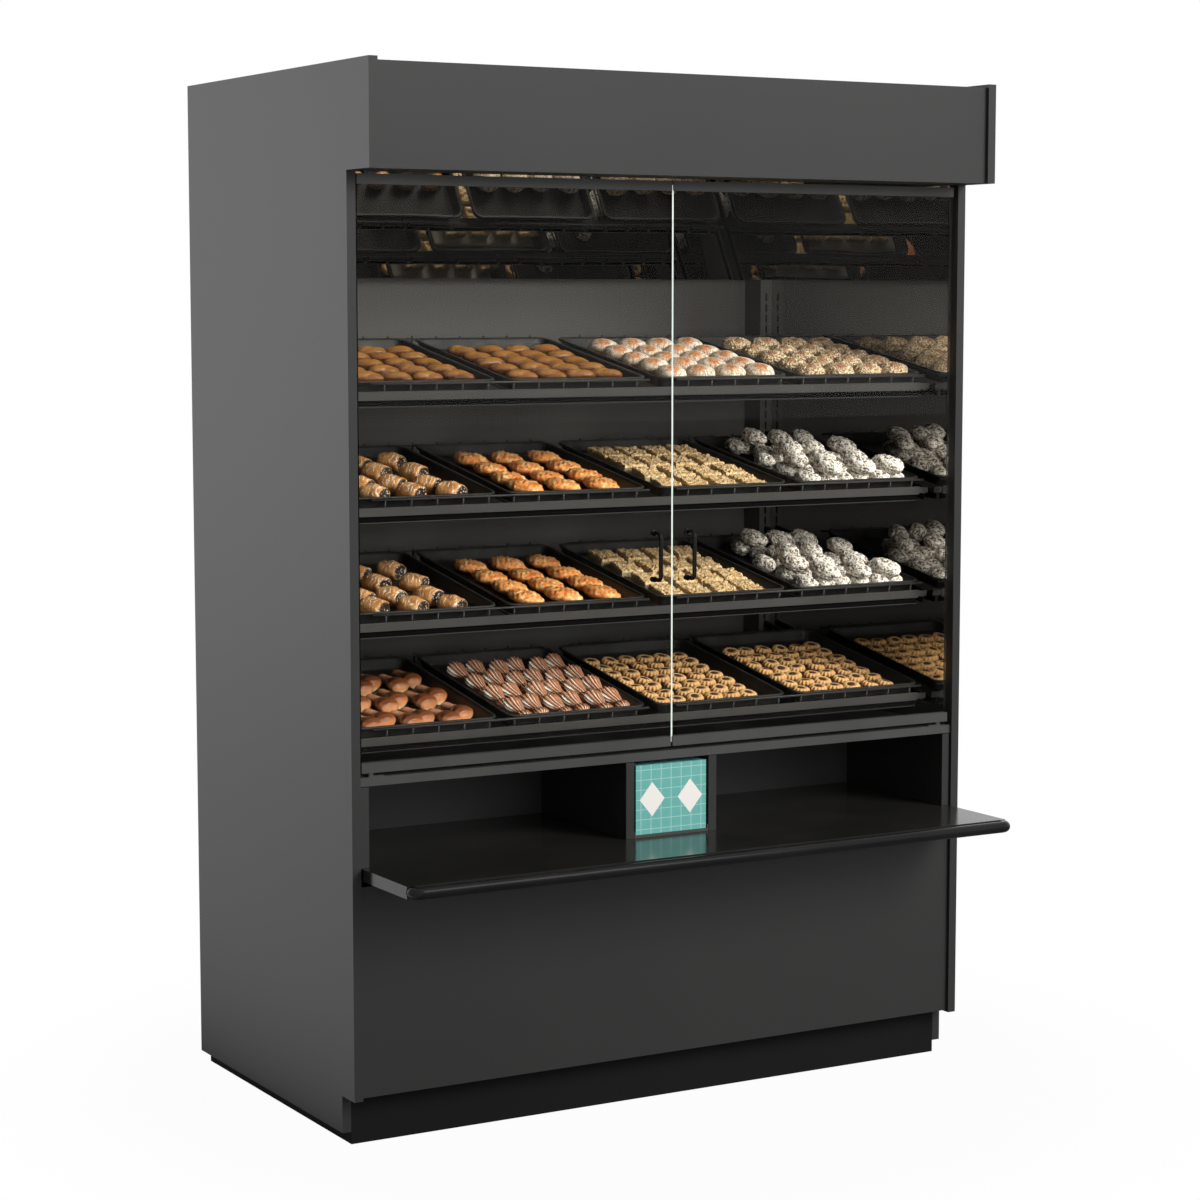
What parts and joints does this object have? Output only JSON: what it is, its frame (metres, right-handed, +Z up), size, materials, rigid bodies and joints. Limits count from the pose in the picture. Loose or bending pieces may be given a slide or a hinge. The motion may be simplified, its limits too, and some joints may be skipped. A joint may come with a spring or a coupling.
{
  "type": "self-serve bakery display case",
  "caption": "Tall black cabinet with two glass pivot doors over sloping wire shelves of sheet pans, a bag ledge with cubbies and a tissue carton, and a closed base.",
  "frame": {"origin": "middle of the whole box's footprint, on the floor", "axes": "+Z up, +X to the right seen from the front, the doors face -Y"},
  "size_m": [1.4728, 1.0261, 2.1336],
  "materials": {
    "black_laminate": "satin black laminate",
    "plinth_black": "dull black",
    "gloss_black": "gloss black",
    "ledge_laminate": "polished black",
    "black_powder_coat": "black powder coat",
    "black_wire": "black coated wire",
    "black_sheet_pan": "dark non-stick coating",
    "door_glass": "clear tempered glass",
    "carton_teal": "printed card"
  },
  "bodies": {
    "root": {"left_side_panel": "black_laminate", "right_side_panel": "black_laminate", "back_panel": "black_laminate", "roof_panel": "black_laminate", "header_fascia": "black_laminate", "header_soffit": "black_laminate", "lower_front_panel": "black_laminate", "display_deck": "black_laminate", "cubby_shell": "black_laminate", "left_cubby_divider": "black_laminate", "right_cubby_divider": "black_laminate", "plinth_frame": "plinth_black", "cabinet_floor": "plinth_black", "sloped_top_panel": "gloss_black", "bag_ledge": "ledge_laminate", "canopy_light": "black_powder_coat", "ledge_bumper": "black_powder_coat", "tissue_tray": "black_powder_coat", "left_upright": "black_powder_coat", "right_upright": "black_powder_coat", "door_sill": "black_powder_coat", "left_top_pivot": "black_powder_coat", "right_top_pivot": "black_powder_coat", "shelf_1_frame": "black_powder_coat", "shelf_2_frame": "black_powder_coat", "shelf_3_frame": "black_powder_coat", "shelf_4_frame": "black_powder_coat", "shelf_1_left_grid": "black_wire", "shelf_1_right_grid": "black_wire", "shelf_2_left_grid": "black_wire", "shelf_2_right_grid": "black_wire", "shelf_3_left_grid": "black_wire", "shelf_3_right_grid": "black_wire", "shelf_4_left_grid": "black_wire", "shelf_4_right_grid": "black_wire", "shelf_1_pan_1": "black_sheet_pan", "shelf_1_pan_2": "black_sheet_pan", "shelf_1_pan_3": "black_sheet_pan", "shelf_1_pan_4": "black_sheet_pan", "shelf_2_pan_1": "black_sheet_pan", "shelf_2_pan_2": "black_sheet_pan", "shelf_2_pan_3": "black_sheet_pan", "shelf_2_pan_4": "black_sheet_pan", "shelf_3_pan_1": "black_sheet_pan", "shelf_3_pan_2": "black_sheet_pan", "shelf_3_pan_3": "black_sheet_pan", "shelf_3_pan_4": "black_sheet_pan", "shelf_4_pan_1": "black_sheet_pan", "shelf_4_pan_2": "black_sheet_pan", "shelf_4_pan_3": "black_sheet_pan", "shelf_4_pan_4": "black_sheet_pan"},
    "left_door": {"left_door_glass": "door_glass", "left_door_top_rail": "black_powder_coat", "left_door_bottom_rail": "black_powder_coat", "left_door_handle": "black_powder_coat"},
    "right_door": {"right_door_glass": "door_glass", "right_door_top_rail": "black_powder_coat", "right_door_bottom_rail": "black_powder_coat", "right_door_handle": "black_powder_coat"},
    "tissue_box": {"tissue_carton": "carton_teal"}
  },
  "joints": [
    {"name": "left_door_swing", "type": "hinge", "parent": "root", "child": "left_door", "pos_m": [-0.6889, -0.2681, 1.3], "axis": [0, 0, -1], "range_deg": [0, 105]},
    {"name": "right_door_swing", "type": "hinge", "parent": "root", "child": "right_door", "pos_m": [0.6889, -0.2681, 1.3], "axis": [0, 0, 1], "range_deg": [0, 105]},
    {"name": "tissue_box_slide", "type": "slide", "parent": "root", "child": "tissue_box", "axis": [0, -1, 0], "range_m": [0, 0.3]}
  ]
}
